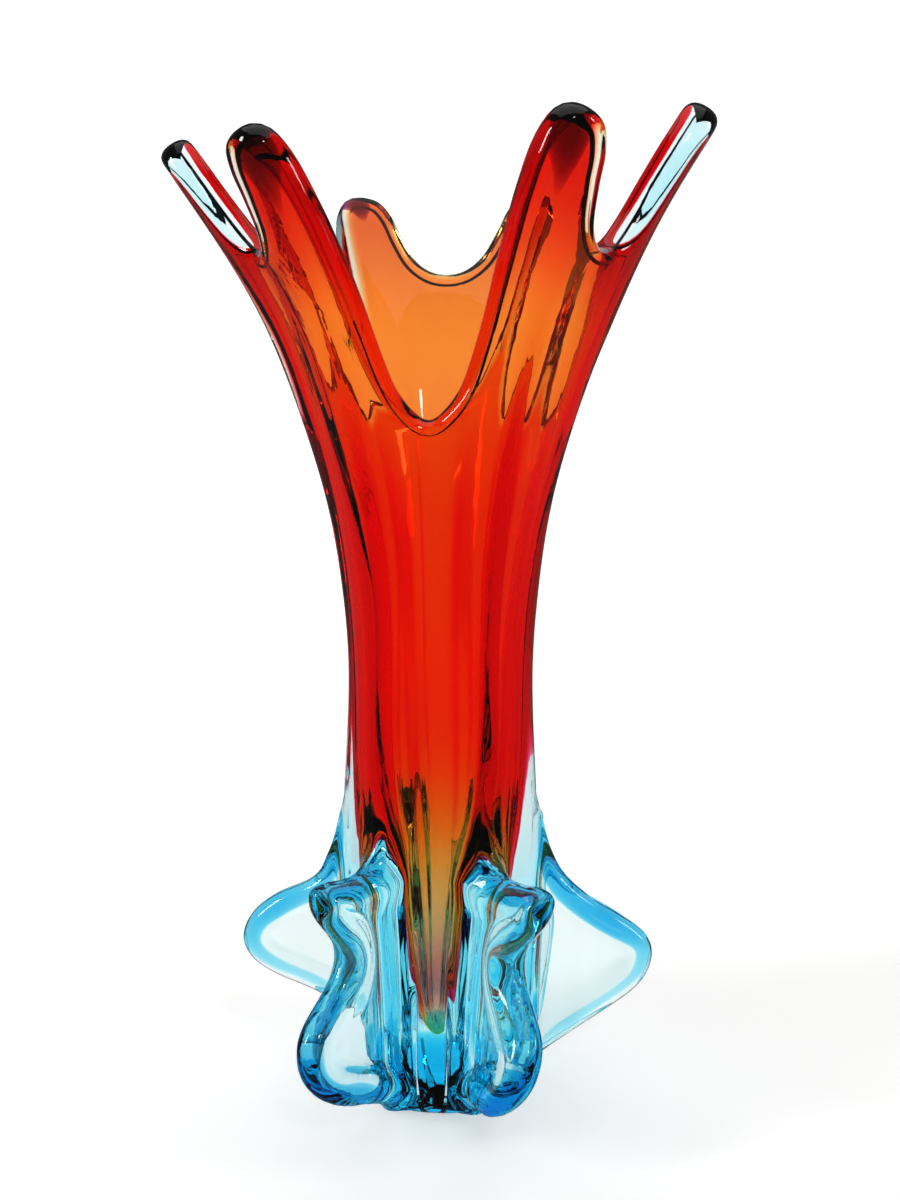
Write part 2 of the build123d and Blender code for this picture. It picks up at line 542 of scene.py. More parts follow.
    def rim_knots(self) -> tuple[np.ndarray, list[int]]:
        """List the points that the rim's edge goes through, and how many columns each span gets.

        Each finger has two halves: from the floor of the notch before it up to its tip, and down to
        the floor of the notch after it. Each half has half the sector's columns, shared by length.

        Returns:
            Rows of arc length at the rim's radius, height and lip depth, and the columns in the span
            that starts at each row.
        """
        knots = []
        counts = []
        total = len(self.fingers)
        for index, finger in enumerate(self.fingers):
            neighbours = (self.fingers[index - 1], self.fingers[(index + 1) % total])
            for side, other in zip((-1.0, 1.0), neighbours):
                spread = math.radians((side * (other.angle - finger.angle)) % 360.0)
                notch = DEEP_NOTCH if spread > DEEP_SPREAD else SHALLOW_NOTCH
                half = np.array([(0.0, 0.0), *notch.flank, (1.0, 1.0)])
                reach, rise = (half if side < 0.0 else half[::-1]).T
                arc = (math.radians(finger.angle) + side * 0.5 * spread * (1.0 - reach)) * self.rim_radius
                height = notch.floor + (finger.tip - notch.floor) * rise
                lengths = np.hypot(np.diff(arc), np.diff(height))
                shares = np.cumsum([0.0, *lengths]) / lengths.sum()
                marks = np.round(shares * (self.sector_columns // 2)).astype(int)
                knots.append(np.stack([arc, height, np.full_like(arc, notch.lip)], axis=-1)[:-1])
                counts.extend(np.diff(marks).tolist())
        return np.concatenate(knots), counts

    def sample_rim(self, knots: np.ndarray, counts: list[int]) -> np.ndarray:
        """Sample the rim's edge, carrying the angle on past a full turn so that it closes smoothly.

        Args:
            knots: rows of arc length at the rim's radius, height and lip depth.
            counts: samples in the span that starts at each knot.

        Returns:
            The samples as rows.
        """
        shift = np.array([TURN * self.rim_radius, 0.0, 0.0])
        long = np.concatenate([knots - shift, knots, knots + shift])
        total = len(knots)
        samples = closed_curve(long, [*([1] * total), *counts, *([1] * total)])
        return samples[total:total + sum(counts)]


# ---- Meshes ----
def solid_object(name: str, vertices: np.ndarray, quads: np.ndarray, fans: np.ndarray) -> bpy.types.Object:
    """Make a closed smooth mesh, turned so that its faces point out.

    The volume inside is a sixth of the sum over the quads of a . (b x c) + a . (c x d), with a, b, c
    and d their corners. Where it comes out negative, every face is turned round.

    Args:
        name: the piece's name.
        vertices: rows of x, y and z, in metres.
        quads: rows of four vertex numbers.
        fans: rows of three vertex numbers.

    Returns:
        The new object.
    """
    a, b, c, d = (vertices[quads[:, index]] for index in range(4))
    volume = np.einsum("ij,ij->i", a, np.cross(b, c)).sum() + np.einsum("ij,ij->i", a, np.cross(c, d)).sum()
    if volume < 0.0:
        quads, fans = quads[:, ::-1], fans[:, ::-1]
    corners = np.concatenate([quads.ravel(), fans.ravel()]).astype(np.int32)
    sizes = np.concatenate([np.full(len(quads), 4), np.full(len(fans), 3)])
    starts = np.concatenate([[0], np.cumsum(sizes)[:-1]]).astype(np.int32)
    mesh = bpy.data.meshes.new(name)
    mesh.vertices.add(len(vertices))
    mesh.vertices.foreach_set("co", vertices.astype(np.float32).ravel())
    mesh.loops.add(len(corners))
    mesh.loops.foreach_set("vertex_index", corners)
    mesh.polygons.add(len(sizes))
    mesh.polygons.foreach_set("loop_start", starts)
    mesh.update(calc_edges=True)
    mesh.validate()
    mesh.shade_smooth()
    piece = bpy.data.objects.new(name, mesh)
    bpy.context.scene.collection.objects.link(piece)
    return piece


def grid_quads(rows: int, columns: int, looped: bool) -> np.ndarray:
    """Number the quads of a grid whose rows run round: (r, c), (r, c + 1), (r + 1, c + 1), (r + 1, c).

    Args:
        rows: the grid's rows.
        columns: the grid's columns, the last joined to the first.
        looped: whether the last row is joined to the first too.

    Returns:
        Rows of four vertex numbers.
    """
    column = np.arange(columns)
    after = (column + 1) % columns
    row = np.arange(rows if looped else rows - 1)[:, None]
    here = row * columns
    above = (row + 1) % rows * columns
    return np.stack([here + column, here + after, above + after, above + column], axis=-1).reshape(-1, 4)


def capped_object(name: str, points: np.ndarray, start: np.ndarray, end: np.ndarray) -> bpy.types.Object:
    """Make a closed mesh from rows of points and a pole past each end.

    Args:
        name: the piece's name.
        points: an array of rows, columns and 3, in millimetres.
        start: the pole before the first row.
        end: the pole after the last row.

    Returns:
        The new object, with its faces pointing out.
    """
    rows, columns, _ = points.shape
    vertices = np.concatenate([points.reshape(-1, 3), start[None], end[None]]) * MM
    column = np.arange(columns)
    after = (column + 1) % columns
    first = rows * columns
    last = (rows - 1) * columns
    head = np.stack([np.full(columns, first), after, column], axis=-1)
    tail = np.stack([np.full(columns, first + 1), last + column, last + after], axis=-1)
    return solid_object(name, vertices, grid_quads(rows, columns, looped=False), np.concatenate([head, tail]))


def ring_object(name: str, points: np.ndarray) -> bpy.types.Object:
    """Make a closed mesh from rows of points, with the last row joined to the first.

    Args:
        name: the piece's name.
        points: an array of rows, columns and 3, in millimetres.

    Returns:
        The new object, with its faces pointing out.
    """
    rows, columns, _ = points.shape
    quads = grid_quads(rows, columns, looped=True)
    return solid_object(name, points.reshape(-1, 3) * MM, quads, np.empty((0, 3), dtype=int))


# ---- Glass ----
@dataclass(frozen=True)
class HotWorkedSurface:
    """The soft waves and drawn streaks of glass that was shaped hot, as one shared node group."""

    name: str = "hot_worked_surface"
    wave_scale: float = 34.0
    streak_scale: float = 150.0
    drawn_out: float = 0.16

    def group(self) -> bpy.types.NodeTree:
        """Find the group, or build it.

        Height is a broad noise plus a little fine noise drawn out upwards. Tint is near white and
        falls slightly in the streaks.

        Returns:
            The group, with inputs Wave and Streak and outputs Tint and Height.
        """
        found = bpy.data.node_groups.get(self.name)
        if found:
            return found
        tree = bpy.data.node_groups.new(self.name, "ShaderNodeTree")
        for label, value in (("Wave", 1.0), ("Streak", 0.3)):
            socket = tree.interface.new_socket(label, in_out="INPUT", socket_type="NodeSocketFloat")
            socket.default_value = value
        tree.interface.new_socket("Tint", in_out="OUTPUT", socket_type="NodeSocketColor")
        tree.interface.new_socket("Height", in_out="OUTPUT", socket_type="NodeSocketFloat")
        entry = tree.nodes.new("NodeGroupInput")
        leave = tree.nodes.new("NodeGroupOutput")
        place = tree.nodes.new("ShaderNodeTexCoord")
        stretch = tree.nodes.new("ShaderNodeMapping")
        stretch.inputs["Scale"].default_value = (1.0, 1.0, self.drawn_out)
        tree.links.new(place.outputs["Object"], stretch.inputs["Vector"])
        noises = []
        for scale, detail in ((self.wave_scale, 1.0), (self.streak_scale, 2.0)):
            noise = tree.nodes.new("ShaderNodeTexNoise")
            noise.inputs["Scale"].default_value = scale
            noise.inputs["Detail"].default_value = detail
            tree.links.new(stretch.outputs["Vector"], noise.inputs["Vector"])
            noises.append(noise)
        wave = tree.nodes.new("ShaderNodeMath")
        wave.operation = "MULTIPLY"
        tree.links.new(noises[0].outputs["Fac"], wave.inputs[0])
        tree.links.new(entry.outputs["Wave"], wave.inputs[1])
        height = tree.nodes.new("ShaderNodeMath")
        height.operation = "MULTIPLY_ADD"
        tree.links.new(noises[1].outputs["Fac"], height.inputs[0])
        tree.links.new(entry.outputs["Streak"], height.inputs[1])
        tree.links.new(wave.outputs["Value"], height.inputs[2])
        tree.links.new(height.outputs["Value"], leave.inputs["Height"])
        shade = tree.nodes.new("ShaderNodeMapRange")
        shade.inputs["From Min"].default_value = 0.35
        shade.inputs["From Max"].default_value = 0.7
        shade.inputs["To Min"].default_value = 1.0
        shade.inputs["To Max"].default_value = 0.965
        tree.links.new(noises[1].outputs["Fac"], shade.inputs["Value"])
        tint = tree.nodes.new("ShaderNodeCombineColor")
        for channel in ("Red", "Green", "Blue"):
            tree.links.new(shade.outputs["Result"], tint.inputs[channel])
        tree.links.new(tint.outputs["Color"], leave.inputs["Tint"])
        return tree


@dataclass(frozen=True)
class Glass:
    """A clear coloured glass: what it takes out of light in one metre, for red, green and blue."""

    name: str
    slot: Slot
    absorbs: tuple[float, float, float]
    bend: float = 1.0
    ripple: float = 0.0

    @cache
    def material(self) -> bpy.types.Material:
        """Build the material, once for each glass.

        A volume takes out density x (1 - colour) of the light in each metre, so with a density a little
        over the strongest of absorbs, the colour is 1 - absorbs / density.

        Returns:
            A Principled glass with a plain volume absorption.
        """
        material = bpy.data.materials.new(self.name)
        material.use_nodes = True
        tree = material.node_tree
        shader = tree.nodes["Principled BSDF"]
        output = tree.nodes["Material Output"]
        shader.inputs["Base Color"].default_value = (1.0, 1.0, 1.0, 1.0)
        shader.inputs["Roughness"].default_value = 0.0
        shader.inputs["IOR"].default_value = self.bend
        shader.inputs["Transmission Weight"].default_value = 1.0
        if self.ripple > 0.0:
            surface = tree.nodes.new("ShaderNodeGroup")
            surface.node_tree = HotWorkedSurface().group()
            bump = tree.nodes.new("ShaderNodeBump")
            bump.inputs["Strength"].default_value = self.ripple
            bump.inputs["Distance"].default_value = 0.001
            tree.links.new(surface.outputs["Tint"], shader.inputs["Base Color"])
            tree.links.new(surface.outputs["Height"], bump.inputs["Height"])
            tree.links.new(bump.outputs["Normal"], shader.inputs["Normal"])
        density = max(self.absorbs) * 1.02
        volume = tree.nodes.new("ShaderNodeVolumeAbsorption")
        volume.inputs["Density"].default_value = density
        volume.inputs["Color"].default_value = (*(1.0 - value / density for value in self.absorbs), 1.0)
        tree.links.new(volume.outputs["Volume"], output.inputs["Volume"])
        return material

    def dress(self, piece: bpy.types.Object, node: str) -> None:
        """Give a piece this glass, hang it on the root body, and hide the part of the assembly that it takes
        the place of.

        Args:
            piece: the piece.
            node: the node of the assembly that the piece takes the place of.
        """
        piece.data.materials.append(self.material())
        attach(piece, ROOT_BODY)
        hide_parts(node)


AQUA = Glass("aqua_glass", Slot.AQUA, absorbs=(5.0, 1.2, 0.8), bend=1.5, ripple=0.25)
FIN_AQUA = Glass("aqua_glass_fins", Slot.AQUA, absorbs=(16.0, 2.4, 1.4))
EDGE_AQUA = Glass("aqua_glass_edges", Slot.AQUA, absorbs=(270.0, 58.0, 14.0))
FOOT_AQUA = Glass("aqua_glass_foot", Slot.AQUA, absorbs=(85.0, 12.0, 1.6))
RIM_AQUA = Glass("aqua_glass_rim", Slot.AQUA, absorbs=(30.0, 8.0, 4.0))
RUBY = Glass("ruby_glass", Slot.RUBY, absorbs=(40.0, 1150.0, 760.0))
PLUM = Glass("ruby_glass_tips", Slot.RUBY, absorbs=(230.0, 560.0, 330.0))
AMBER = Glass("amber_glass", Slot.AMBER, absorbs=(10.0, 380.0, 2600.0))


@dataclass
class DrawnFin:
    """The fin's own glass inside the casing: a heart that fills it and a deeper rod in its edge."""

    fin: Fin
    heart_glass: Glass
    rod_glass: Glass
    skin: float = 0.7
    rod_depth: float = 4.6
    rod_end: float = 0.12
    rod_turn: tuple[float, float] = (0.3, 0.6)
    heart_sunk: float = 1.5
    heart_shortest: float = 4.0
    heart_close: float = 0.3
    heart_rows: int = 72
    heart_columns: int = 56
    rod_clear: float = 3.0
    rod_rows: int = 120
    rod_columns: int = 24

    def heart(self) -> np.ndarray:
        """Work out the heart: level rows, each a loop out along one side, round the edge and back.

        With u from 0 to a full turn the place along the row goes from the root to the edge and back
        as cos(u), and half the fin's thickness, less the skin, stands to the side that sin(u) gives.
        Near the root it closes as the square root of 1 + cos(u).

        Returns:
            Rows, columns and 3.
        """
        fin = self.fin
        line = fin.edge_line()
        root = fin.body_radius - self.heart_sunk
        tall = line[line[:, 0] > root + self.heart_shortest + self.skin, 1]
        heights = np.linspace(tall.min() + 0.5, tall.max() - 0.5, self.heart_rows)[:, None]
        u = np.linspace(0.0, TURN, self.heart_columns, endpoint=False)[None, :]
        edge = fin.edge(heights) - self.skin
        radius = 0.5 * (root + edge) + 0.5 * (edge - root) * np.cos(u)
        level = np.broadcast_to(heights, radius.shape)
        half = np.maximum(fin.half_thickness(fin.depth(radius, level)) - self.skin, 0.05)
        closing = np.sqrt(np.clip((1.0 + np.cos(u)) / self.heart_close, 0.0, 1.0))
        return fin.place(radius, level, np.sign(np.sin(u)) * half * closing)

    def rod(self) -> np.ndarray:
        """Work out the rod: an ellipse carried along the outline, a little way in.

        Its size tapers as a square root at both ends, is less along the lower edge, and swells and
        shrinks a little with two sines of the share along it, as a rod drawn by hand does.

        Returns:
            Rows, columns and 3.
        """
        fin = self.fin
        line = fin.edge_line()
        line = line[line[:, 0] > fin.body_radius + self.rod_clear]
        length = np.concatenate([[0.0], np.cumsum(np.linalg.norm(np.diff(line, axis=0), axis=1))])
        steps = np.linspace(0.0, length[-1], self.rod_rows)
        line = np.stack([np.interp(steps, length, line[:, 0]), np.interp(steps, length, line[:, 1])], axis=-1)
        along = np.gradient(line, axis=0)
        along /= np.linalg.norm(along, axis=1, keepdims=True)
        inward = np.stack([-along[:, 1], along[:, 0]], axis=-1)
        share = np.linspace(0.0, 1.0, len(line))
        taper = np.sqrt(np.clip(np.minimum(share, 1.0 - share) / self.rod_end, 0.02, 1.0))
        below = fin.edge_below + (1.0 - fin.edge_below) * smooth_step(*self.rod_turn, share)
        uneven = 1.0 + 0.16 * np.sin(9.0 * share + math.radians(fin.angle)) + 0.08 * np.sin(23.0 * share)
        taper = (taper * below * uneven)[:, None]
        u = np.linspace(0.0, TURN, self.rod_columns, endpoint=False)[None, :]
        centre = line + inward * self.rod_depth
        place = centre[:, None, :] + (fin.edge_half * taper * np.cos(u))[..., None] * inward[:, None, :]
        beside = fin.edge_fill * fin.thickness * taper * np.sin(u)
        return fin.place(place[..., 0], place[..., 1], beside)

    def build(self) -> list[bpy.types.Object]:
        """Make both pieces.

        Returns:
            The heart and the rod.
        """
        made = []
        for name, points, glass in (
            (self.fin.name + "_heart", self.heart(), self.heart_glass),
            (self.fin.name + "_edge_rod", self.rod(), self.rod_glass),
        ):
            piece = capped_object(name, points, points[0].mean(axis=0), points[-1].mean(axis=0))
            glass.dress(piece, self.fin.name)
            made.append(piece)
        return made


@dataclass
class FootGather:
    """The deep aqua at the bottom: a solid dome in the foot, turned from a profile round the axis."""

    glass: Glass
    profile: Curve = Curve((
        (1.0, 20.0), (3.0, 26.0), (7.0, 30.5), (12.0, 32.5), (17.0, 31.0), (22.0, 25.5), (25.0, 16.0),
        (26.0, 8.0),
    ))
    bottom: float = 1.6
    top: float = 26.4
    columns: int = 128

    def build(self) -> bpy.types.Object:
        """Make the dome: circles of the profile's radius at rising heights.

        Returns:
            The dome.
        """
        heights = np.concatenate([np.linspace(1.0, 22.0, 26), np.linspace(22.5, 26.0, 10)])[:, None]
        turn = np.linspace(0.0, TURN, self.columns, endpoint=False)[None, :]
        points = around_axis(self.profile(heights), turn, heights)
        poles = (np.array([0.0, 0.0, height]) for height in (self.bottom, self.top))
        piece = capped_object("foot_pad_gather", points, *poles)
        self.glass.dress(piece, "foot_pad")
        return piece


@dataclass
class CasingShade:
    """A sleeve of deeper aqua in the casing above the foot, which thins away upwards."""

    form: VaseForm
    glass: Glass
    bottom: float = 24.0
    top: float = 128.0
    skin: float = 1.0
    thickness: float = 6.0
    thinnest: float = 0.03
    rows: int = 60
    columns: int = 180

    def build(self) -> bpy.types.Object:
        """Make the sleeve between the casing's outer face, less a skin, and a depth that falls to nothing.

        With x the share of the way up, the depth is the thickness times (1 - x)^1.3.

        Returns:
            The sleeve.
        """
        heights = np.linspace(self.bottom, self.top, self.rows)[:, None]
        turn = np.linspace(0.0, TURN, self.columns, endpoint=False)[None, :]
        level, around = np.broadcast_arrays(heights, turn)
        outer, _ = self.form.face_radii(around, level)
        share = (level - self.bottom) / (self.top - self.bottom)
        thick = self.thickness * (1.0 - share) ** 1.3 * smooth_step(0.0, 0.08, share) + self.thinnest
        outside = around_axis(outer - self.skin, around, level)
        inside = around_axis(outer - self.skin - thick, around, level)
        piece = ring_object("aqua_casing_shade", np.concatenate([outside, inside[::-1]]))
        self.glass.dress(piece, "aqua_casing")
        return piece


@dataclass
class FingerTips:
    """The darkest glass, gathered in the end of each finger: one drop inside the wall for each."""

    form: VaseForm
    glass: Glass
    half_width: float = 11.6
    half_height: float = 18.0
    gap: float = 1.2
    fill: float = 0.93
    narrowest: float = 0.55
    foot_width: float = 0.24

    def build(self) -> list[bpy.types.Object]:
        """Make the drops: a sphere's three directions run round the vase, up the wall and through it.

        With u the sphere's height from -1 to 1, the drop thins downwards: its depth through the wall
        is scaled by (1 + u) / 2 and its width rises in a line from foot_width at its foot to 1.

        Returns:
            One drop for each finger.
        """
        made = []
        polar = np.linspace(0.0, np.pi, 26)[1:-1, None]
        turn = np.linspace(0.0, TURN, 40, endpoint=False)[None, :]
        around = np.sin(polar) * np.cos(turn)
        up = np.broadcast_to(np.cos(polar), around.shape)
        around = around * (0.5 * (1.0 + self.foot_width) + 0.5 * (1.0 - self.foot_width) * up)
        through = np.sin(polar) * np.sin(turn) * (0.5 + 0.5 * up)
        for number, finger in enumerate(self.form.fingers, start=1):
            reach = self.form.outer(np.array([finger.tip]))[0]
            width = self.half_width * (self.narrowest + (1.0 - self.narrowest) * finger.dark)
            height = self.half_height * finger.dark
            angles = math.radians(finger.angle) + around * width / reach
            heights = finger.tip - self.gap - height + up * height
            step = self.form.across(angles, heights) * (through * self.fill)[..., None]
            points = self.form.middle(angles, heights) + step
            poles = (points[row].mean(axis=0) for row in (0, -1))
            piece = capped_object(f"ruby_tip_{number}", points, *poles)
            self.glass.dress(piece, "ruby_overlay")
            made.append(piece)
        return made


@dataclass
class VaseBody:
    """The whole body of glass, from the ground foot to the lip and down inside to the cavity's floor."""

    form: VaseForm
    glass: Glass
    foot_rings: tuple[tuple[float, float], ...] = ((0.3, 1.1), (0.6, 0.8), (0.82, 0.15), (0.93, 0.0))
    foot_hollow: float = 1.2
    lip_rows: int = 12
    lip_square: float = 0.84
    upper_rows: int = 32
    inner_rows: int = 18
    cap_rows: int = 7
    tip_share: float = 0.34
    flare: float = 10.0
    flare_share: float = 0.6
    full_length: float = 7.0
    rib_reach: float = 6.0

    def outer_heights(self) -> np.ndarray:
        """List the heights of the level rows outside: close together over the foot and the fins.

        Returns:
            The heights, from the bottom up.
        """
        foot = np.array([0.5, 1.2, 2.4, 4.0, 6.0])
        fins = np.concatenate([np.arange(7.5, 90.0, 1.25), np.arange(90.0, 120.0, 0.8)])
        waist = np.linspace(121.5, self.form.shoulder, 20)
        return np.concatenate([foot, fins, waist])

    def fin_rows(self, points: np.ndarray, heights: np.ndarray) -> np.ndarray:
        """Draw the fins out of the level rows.

        Over each fin's root the section is pulled out into a tongue. A place s runs from 0 at the
        middle of the fin to 1 at the edge of its root. It is carried outwards by h, which is the
        fin's length at s = 0 and nothing at s = 1, and it stands beside the fin's middle plane by the
        half thickness there. That is a circle's rise with depth under the outline, and a quarter
        ellipse flares it into the body. Where the fin has no length the section stays as it was.

        Args:
            points: rows, columns and 3.
            heights: the height of each row.

        Returns:
            The points with the fins.
        """
        form = self.form
        places = form.local_places()
        share = places / form.fin_share
        inside = np.abs(share) <= 1.0
        tip = self.tip_share
        for index, fin in enumerate(form.fins):
            start = index * form.sector_columns
            columns = np.flatnonzero(inside) + start
            side = np.sign(share[inside])[None, :]
            s = np.abs(share[inside])[None, :]
            z = heights[:, None]
            angle = math.radians(fin.angle)
            body, _ = form.face_radii(np.full_like(heights, angle), heights)
            spanned = (heights > fin.outline[-1][1]) & (heights < fin.outline[0][1])
            length = np.maximum(np.where(spanned, fin.edge(heights) - body, 0.0), 0.0)[:, None]
            bulb = np.minimum(fin.thickness, 0.5 * length)
            turn = 0.5 * np.pi * np.clip(s / tip, 0.0, 1.0)
            beyond = np.clip((s - tip) / (1.0 - tip), 0.0, 1.0)
            rounded = length - bulb * (1.0 - np.cos(turn))
            out = np.where(s < tip, rounded, (length - bulb) * (1.0 - beyond) ** 1.5)
            radius = body[:, None] + out
            level = np.broadcast_to(z, out.shape)
            thick = fin.half_thickness(fin.depth(radius, level))
            flare_height = np.maximum(np.minimum(self.flare, self.flare_share * length), 0.01)
            low = np.clip(1.0 - out / flare_height, 0.0, 1.0)
            flared = form.fin_root - (form.fin_root - thick) * np.sqrt(1.0 - low**2)
            drawn = smooth_step(0.0, self.full_length, length)
            beside = (1.0 - drawn) * form.fin_root * s + drawn * flared
            sector = form.rib_wave(angle + side * beside / radius, level)
            near_body = np.clip(1.0 - out / self.rib_reach, 0.0, 1.0)
            radius = radius - form.ribs(z) * (1.0 - sector) * near_body
            points[:, columns] = fin.place(radius, level, side * beside)
        return points

    def outside(self) -> list[np.ndarray]:
        """Work out the rows from the foot up the outside to where the lip begins.

        Returns:
            The rows, from the ring next to the middle of the foot.
        """
        form = self.form
        foot = form.low_angles(form.foot_radius)
        foot_radius = form.outer(np.zeros(1))[0]
        rows = [around_axis(share * foot_radius, foot, lift) for share, lift in self.foot_rings]
        heights = self.outer_heights()
        level = np.repeat(heights[:, None], form.columns, axis=1)
        points = form.wall(form.angles_at(level), level, Side.OUTER)
        finned = np.flatnonzero(heights < form.fin_zone_top)
        shaped = self.fin_rows(points[finned].copy(), heights[finned])
        fade = smooth_step(form.fin_zone, form.fin_zone_top, heights[finned])[:, None, None]
        points[finned] = shaped * (1.0 - fade) + points[finned] * fade
        rows.extend(points)
        steps = np.linspace(0.0, 1.0, self.upper_rows + 1)[1:]
        rows.extend(self.upper_wall(steps, Side.OUTER))
        return rows

    def upper_wall(self, steps: np.ndarray, side: Side) -> np.ndarray:
        """Points on one face between the shoulder and the rim, in rows that share out each column's height.

        Args:
            steps: each row's share of the way from the shoulder to the rim.
            side: which face.

        Returns:
            Rows, columns and 3.
        """
        form = self.form
        heights = form.shoulder + (form.rim_heights - form.shoulder) * steps[:, None]
        return form.wall(np.broadcast_to(form.rim_angles, heights.shape), heights, side)

    def lip(self) -> list[np.ndarray]:
        """Roll the lip from the outer face over the rim's edge to the inner face.

        The section is a half of a superellipse: with t from a quarter turn to minus a quarter turn it
        stands sin(t) across the wall and cos(t) towards the edge, each to the power lip_square.

        Returns:
            The rows, from the outer face to the inner.
        """
        form = self.form
        centre = form.middle(form.rim_angles, form.rim_heights)
        across = form.across(form.rim_angles, form.rim_heights)
        rows = []
        for turn in np.linspace(0.5 * np.pi, -0.5 * np.pi, self.lip_rows + 2)[1:-1]:
            side = np.sign(np.sin(turn)) * abs(np.sin(turn)) ** self.lip_square
            out = abs(np.cos(turn)) ** self.lip_square
            rows.append(centre + across * side + form.rim_out * form.rim_lip[:, None] * out)
        return rows

    def inside(self) -> list[np.ndarray]:
        """Work out the rows from the lip down the inside, and over the cavity's rounded floor.

        Over the floor the last level row shrinks towards the axis as its height falls with the square
        of the share that is left.

        Returns:
            The rows, from the rim down.
        """
        form = self.form
        rows = list(self.upper_wall(np.linspace(1.0, 0.0, self.inner_rows + 1)[:-1], Side.INNER))
        down = np.linspace(form.shoulder, form.cavity_cap_top, self.inner_rows)
        level = np.repeat(down[:, None], form.columns, axis=1)
        rows.extend(form.wall(form.angles_at(level), level, Side.INNER))
        cap = rows[-1]
        for share in np.linspace(1.0, 0.0, self.cap_rows + 2)[1:-1]:
            row = cap * [share, share, 0.0]
            row[:, 2] = form.cavity_floor + (form.cavity_cap_top - form.cavity_floor) * share * share
            rows.append(row)
        return rows

    def build(self) -> tuple[bpy.types.Object, np.ndarray]:
        """Make the body.

        Returns:
            The object, and the grid of its inner face with the last third of the lip, from the top
            down, for the colours to lie on.
        """
        outside, lip, inside = self.outside(), self.lip(), self.inside()
        foot_pole = np.array([0.0, 0.0, self.foot_hollow])
        floor_pole = np.array([0.0, 0.0, self.form.cavity_floor])
        piece = capped_object("aqua_body", np.stack(outside + lip + inside), foot_pole, floor_pole)
        self.glass.dress(piece, "aqua_casing")
        return piece, np.stack(lip[-(self.lip_rows // 3):] + inside)


@dataclass(frozen=True)
class ColourLayer:
    """A thin bubble of colour that lies in the glass, close under the cavity's face.

    near and far are its two depths under that face, and floor is how far down it goes. front_gain
    thickens it in the front fingers. Each stria is an angle in degrees, a spread and a gain: a streak
    up the waist where the layer is thicker.
    """

    name: str
    node: str
    glass: Glass
    near: float
    far: Curve
    floor: float = 0.0
    front_gain: float = 0.0
    striae: tuple[tuple[float, float, float], ...] = ()
    lip_rows: float = 5.0
    end_rows: float = 6.0
    front: tuple[float, float] = (-0.35, 0.5)
    front_heights: tuple[float, float] = (318.0, 382.0)
    striae_rise: tuple[float, float] = (95.0, 150.0)
    striae_fall: tuple[float, float] = (230.0, 300.0)
    thinnest: float = 0.02

    def into_glass(self, inner: np.ndarray) -> np.ndarray:
        """The direction square to the inner face and into the glass: the cross product of its two slopes.

        Args:
            inner: the inner face's grid.

        Returns:
            A vector of length 1 for each point of the grid.
        """
        along = np.roll(inner, -1, axis=1) - np.roll(inner, 1, axis=1)
        into = np.cross(along, np.gradient(inner, axis=0))
        into /= np.maximum(np.linalg.norm(into, axis=-1, keepdims=True), 1e-9)
        outward = (into * inner * [1.0, 1.0, 0.0]).sum(axis=-1)
        wall_row = 30
        return into if outward[wall_row].mean() >= 0.0 else -into

    def depth(self, around: np.ndarray, heights: np.ndarray) -> np.ndarray:
        """The layer's thickness before its ends are thinned out.

        It is the far depth less the near one, plus the gain in the front fingers, and each stria
        multiplies it by 1 plus a bell round an angle that wanders by a sine of the height.

        Args:
            around: angles in radians.
            heights: heights.

        Returns:
            The thickness at each place.
        """
        front = smooth_step(*self.front, np.cos(around)) * smooth_step(*self.front_heights, heights)
        depth = self.far(heights) - self.near + self.front_gain * front
        shown = smooth_step(*self.striae_rise, heights) * (1.0 - smooth_step(*self.striae_fall, heights))
        for angle, spread, gain in self.striae:
            wander = angle + 3.0 * np.sin(0.013 * heights + angle)
            apart = (np.degrees(around) - wander + 180.0) % 360.0 - 180.0
            depth = depth * (1.0 + gain * np.exp(-((apart / spread) ** 2)) * shown)
        return depth

    def build(self, inner: np.ndarray, form: VaseForm) -> bpy.types.Object:
        """Make the layer between two depths under the inner face.

        Each face of the layer is the inner face moved square to itself into the glass: by near on one
        side and by far, which changes with height, on the other. The two meet at the lip. A layer with
        a floor of its own is a sleeve, whose faces meet there too, and any other is a bag.

        Args:
            inner: the inner face's grid, from the lip down.
            form: the vase's shape.

        Returns:
            The layer's object.
        """
        into = self.into_glass(inner)
        sleeve = self.floor > form.cavity_floor + 2.0
        last = np.flatnonzero(inner[..., 2].mean(axis=1) > self.floor)[-1] + 1 if sleeve else len(inner)
        inner, into = inner[:last], into[:last]
        row = np.arange(last)[:, None]
        ends = smooth_step(0.0, self.lip_rows, row)
        if sleeve:
            ends = ends * smooth_step(0.0, self.end_rows, last - 1 - row)
        around = np.arctan2(inner[..., 0], -inner[..., 1])
        thick = np.maximum(self.depth(around, inner[..., 2]) * ends, self.thinnest)
        near = inner + into * self.near
        points = np.concatenate([near[::-1], near + into * thick[..., None]])
        if sleeve:
            piece = ring_object(self.name, points)
        else:
            deep = float(self.far(np.array([form.cavity_floor]))[0])
            poles = (np.array([0.0, 0.0, form.cavity_floor - depth]) for depth in (self.near, deep))
            piece = capped_object(self.name, points, *poles)
        self.glass.dress(piece, self.node)
        return piece


